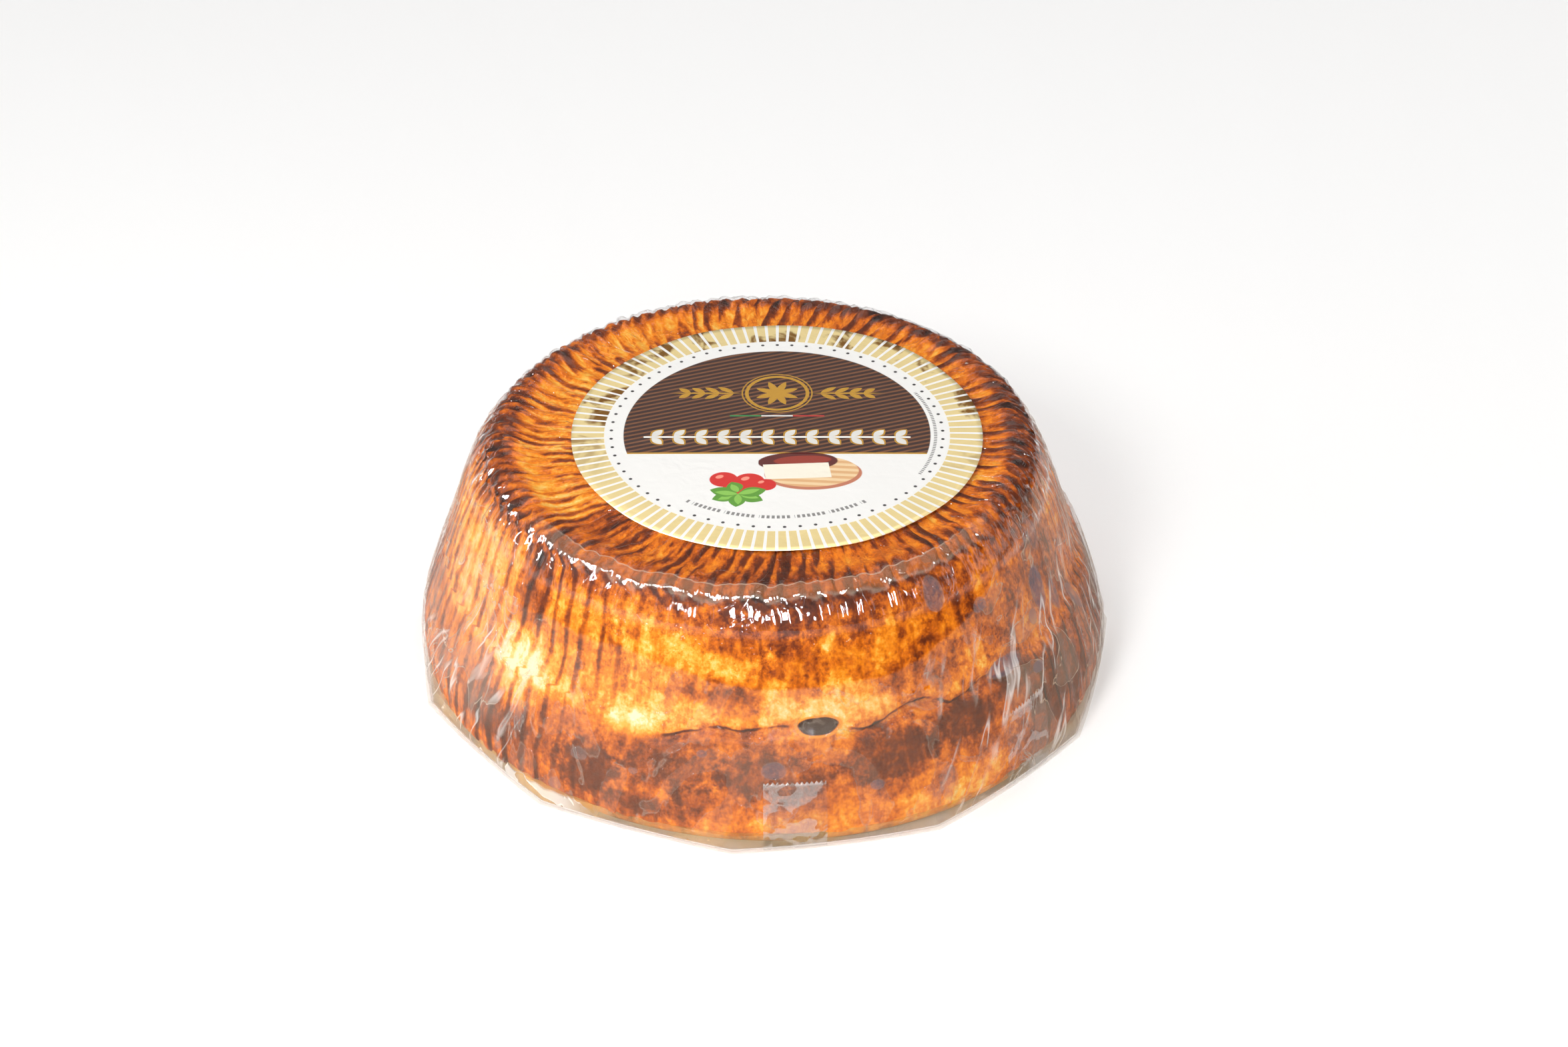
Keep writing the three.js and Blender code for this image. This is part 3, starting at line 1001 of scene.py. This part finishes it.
def label_material():
    material, tree, shader = new_material("printed_label")
    ink = Print(tree)
    place = object_place(tree)
    foil = foil_ticks(ink)
    # Painted reflection: the gold foil ticks are painted dark in patches towards the back of the
    # label.
    foil_reflection_patches = noise(vector(tree, place.x, place.y, 9.0), 11.0, 3.0, 0.6, 0.4).ease(0.5, 0.62)
    foil_painted_reflection = foil_reflection_patches * abs(ink.turn).ease(60.0, 100.0)
    colour = mixed(foil, "f6f4f0", mixed(foil_painted_reflection, "ffe6a4", "8a5c1c"))
    colour = mixed(ring_dots(ink), colour, "2c2827")
    dome = ink.within(ink.radius, 48.5) * ink.over(ink.y, -11.5)
    pin = ((ink.y * 0.94 - ink.x * 0.34) / 2.1).part()
    stripes = mixed(pin.ease(0.45, 0.6) * pin.ease(1.0, 0.85), "34180e", "7c4c2c")
    colour = mixed(dome, colour, stripes)
    rule = ink.within(ink.radius, 48.5) * ink.band(ink.y, -12.2, -11.4)
    fill, rim, stem = garland(ink)
    gold = rule.most(emblem(ink)).most(rim)
    gold_all = gold.most(foil)
    colour = mixed(gold, colour, "d9a441")
    colour = mixed(fill.most(stem), colour, "fbf8f0")
    for low, high, code in ((-15, -5, "2f8f4a"), (-5, 5, "f2f0ea"), (5, 15, "c8302b")):
        colour = mixed(ink.band(ink.x, low, high) * ink.band(ink.y, 9.3, 10.0), colour, code)
    colour = picture(ink, colour)
    strokes = (ink.turn / 1.9).part().ease(0.62, 0.56)
    strokes = strokes * (ink.turn / 13.3 + 0.5).part().ease(0.9, 0.86)
    line = ink.band(ink.radius, 46.2, 47.8) * ink.within(abs(ink.turn), 36.0) * strokes
    small = ink.band(ink.radius, 49.6, 50.6) * (ink.turn * 0.9).part().ease(0.6, 0.5)
    line = line.most(small * ink.band(ink.turn, 62.0, 118.0))
    colour = mixed(line * 0.8, colour, "4a4340")
    feed(tree, shader.inputs["Base Color"], colour)
    feed(tree, shader.inputs["Metallic"], gold_all * 0.3)
    feed(tree, shader.inputs["Roughness"], 0.42 - gold_all * 0.15)
    waves = noise(vector(tree, place.x, place.y, place.z), 9.0, 2.0, 0.5, 0.5)
    fibre = placed(tree, GRAIN, size=0.7)
    height = waves * 0.92 + fibre * 0.08
    feed(tree, shader.inputs["Normal"], bumped(tree, height, 0.6))
    return material


# --- The tape and the whey --------------------------------------------------------------------


def film_radius(angle, height):
    """The film's radius at a height on its lower part."""
    points = rounded(FILM_OUTLINE)
    for (r0, z0), (r1, z1) in zip(points, points[1:]):
        if z1 <= height <= z0:
            return r1 + (r0 - r1) * (height - z1) / (z0 - z1) + film_shift(angle, height)
    return points[-1][0] + film_shift(angle, height)


def make_tape(name, node, angle, top, lean, material):
    """A strip of tape from the ground to its toothed end, leaning a little."""
    columns, rows, bottom = 52, 24, 0.7
    verts, faces = [], []
    for row in range(rows + 1):
        for column in range(columns + 1):
            across = (column / columns - 0.5) * TAPE_WIDTH
            saw = abs((column / 4) % 1 - 0.5) * 2
            rise = top - bottom - (1 - saw) * TAPE_TOOTH + across * lean * 0.1
            height = bottom + rise * row / rows
            at = angle + math.degrees(across / BELLY_RADIUS) + lean * (height - bottom) * 0.06
            r = film_radius(at, height) + TAPE_LIFT
            turn = math.radians(at)
            verts.append((r * math.sin(turn) * MM, -r * math.cos(turn) * MM, height * MM))
    stride = columns + 1
    for row in range(rows):
        for column in range(columns):
            a = row * stride + column
            faces.append((a, a + 1, a + 1 + stride, a + stride))
    obj = mesh_object(name, verts, faces)
    obj.data.materials.append(material)
    solid = obj.modifiers.new("tape_thickness", "SOLIDIFY")
    solid.thickness = THIN_FILM * MM
    solid.offset = 1.0
    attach(obj, "root")
    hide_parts(node)
    return obj


def tape_material():
    material, tree, shader = new_material("clear_tape")
    place = object_place(tree)
    clear = tree.nodes.new("ShaderNodeBsdfTransparent")
    stuck = noise(place.unrolled(1.0, 12.0), 6.0, 2.0, 0.5, 0.8).ease(0.45, 0.5)
    creases = placed(tree, CRINKLE, size=4.0)
    normal = bumped(tree, creases, 0.2, 0.7)
    shader.inputs["Base Color"].default_value = tone("efe6e0")
    shader.inputs["Roughness"].default_value = 0.15
    feed(tree, shader.inputs["Normal"], normal)
    surface = tree.nodes.new("ShaderNodeMixShader")
    back = Field(tree, tree.nodes.new("ShaderNodeNewGeometry").outputs["Backfacing"])
    # Painted highlight: the tape is brighter and more opaque in a band along each toothed end.
    end = place.z.hill(23.2, 0.9) * place.angle.ease(26.0, 25.0)
    end = end + place.z.hill(26.0, 1.3) * place.angle.ease(25.0, 26.0)
    feed(tree, surface.inputs[0], ((1 - stuck) * 0.24 + end * 0.2 + 0.05) * (1 - back))
    tree.links.new(clear.outputs[0], surface.inputs[1])
    tree.links.new(shader.outputs[0], surface.inputs[2])
    tree.links.new(surface.outputs[0], tree.nodes["Material Output"].inputs[0])
    return material


def whey_material():
    """Cloudy whey, thin enough for the rind to show through it."""
    material, tree, shader = new_material("whey")
    place = object_place(tree)
    cloud = noise(place.unrolled(1.0, 2.0), 12.0, 3.0)
    colour = ramp(cloud, (0.3, "a98a44"), (0.5, "cfa24a"), (0.7, "f0bb5c"))
    feed(tree, shader.inputs["Base Color"], colour)
    feed(tree, shader.inputs["Roughness"], placed(tree, GRAIN, size=3.0) * 0.2 + 0.05)
    back = Field(tree, tree.nodes.new("ShaderNodeNewGeometry").outputs["Backfacing"])
    corner = place.angle.hill(-42.0, 16.0, 0.6) * 0.25
    clear = tree.nodes.new("ShaderNodeBsdfTransparent")
    surface = tree.nodes.new("ShaderNodeMixShader")
    feed(tree, surface.inputs[0], (cloud * 0.5 + corner + 0.12).least(1.0) * (1 - back))
    tree.links.new(clear.outputs[0], surface.inputs[1])
    tree.links.new(shader.outputs[0], surface.inputs[2])
    tree.links.new(surface.outputs[0], tree.nodes["Material Output"].inputs[0])
    return material


def dress(node, material):
    """Gives a CAD node another material and keeps its mesh."""
    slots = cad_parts[node].material_slots
    for slot in slots:
        slot.link = "OBJECT"
        slot.material = material


# --- The studio -------------------------------------------------------------------------------

# Small softboxes in an arc, for the bright strokes along the film's shoulder. They light nothing
# else.
GLINTS = [(0.12, -0.72, 0.63), (-0.28, -0.64, 0.6), (-0.62, -0.46, 0.55), (-0.8, -0.21, 0.46)]


def make_floor():
    size = 3.0
    verts = [(-size, -size, 0), (size, -size, 0), (size, size, 0), (-size, size, 0)]
    floor = mesh_object("floor", verts, [(0, 1, 2, 3)])
    material, _, shader = new_material("pale_floor")
    shader.inputs["Base Color"].default_value = tone("faf9f8")
    shader.inputs["Roughness"].default_value = 0.6
    shader.inputs["Emission Color"].default_value = (1, 1, 1, 1)
    shader.inputs["Emission Strength"].default_value = 0.1
    floor.data.materials.append(material)
    floor.location.z = -0.0002


def make_light(name, size, power, place, aim=(0, 0, 0.04), colour=(1, 1, 1)):
    data = bpy.data.lights.new(name, "AREA")
    data.shape = "RECTANGLE"
    data.size, data.size_y = size
    data.energy = power
    data.color = colour
    light = bpy.data.objects.new(name, data)
    light.location = place
    light.rotation_euler = (Vector(aim) - Vector(place)).to_track_quat("-Z", "Y").to_euler()
    bpy.context.scene.collection.objects.link(light)
    return light


def make_world():
    """A white surround. What it lights and what the film mirrors is dimmer than what is seen."""
    world = bpy.data.worlds.new("studio")
    world.use_nodes = True
    tree = world.node_tree
    dim = tree.nodes["Background"]
    dim.inputs["Color"].default_value = (1, 1, 1, 1)
    dim.inputs["Strength"].default_value = 0.28
    seen = tree.nodes.new("ShaderNodeBackground")
    seen.inputs["Color"].default_value = (1, 1, 1, 1)
    seen.inputs["Strength"].default_value = 1.0
    either = tree.nodes.new("ShaderNodeMixShader")
    path = tree.nodes.new("ShaderNodeLightPath")
    tree.links.new(path.outputs["Is Camera Ray"], either.inputs[0])
    tree.links.new(dim.outputs[0], either.inputs[1])
    tree.links.new(seen.outputs[0], either.inputs[2])
    tree.links.new(either.outputs[0], tree.nodes["World Output"].inputs[0])
    bpy.context.scene.world = world


def make_camera():
    data = bpy.data.cameras.new("camera")
    data.lens = 82.6
    data.sensor_width = 36.0
    data.clip_start, data.clip_end = 0.05, 20.0
    camera = bpy.data.objects.new("camera", data)
    camera.location = (0.0072, -0.9507, 0.7025)
    camera.rotation_euler = (math.radians(55.265), 0, 0)
    bpy.context.scene.collection.objects.link(camera)
    bpy.context.scene.camera = camera


def main():
    make_camera()
    make_world()
    make_light("key", (0.2, 0.2), 3.2, (-0.27, -0.62, 0.63))
    for number, place in enumerate(GLINTS):
        glint = make_light(f"glint_{number + 1}", (0.2, 0.26), 21.0, place, (0, -0.04, 0.072))
        glint.visible_diffuse = False
    make_light("overhead", (3.0, 3.0), 37.0, (0, 0.3, 2.4))
    make_light("left", (0.6, 0.6), 1.2, (-1.1, -0.2, 0.5))
    make_light("right", (0.6, 0.6), 1.7, (1.1, 0.1, 0.5))
    make_floor()
    film = film_material("clear_film")
    make_cheese(rind_material())
    make_film(film)
    make_label(label_material())
    tape = tape_material()
    make_tape("tape_front", "tape_strip_front", 5.5, 24, 0.0, tape)
    make_tape("tape_right", "tape_strip_right", 47.5, 27, 0.4, tape)
    dress("film_base", film)
    dress("whey", whey_material())
    bpy.context.scene.view_settings.view_transform = "Standard"


main()
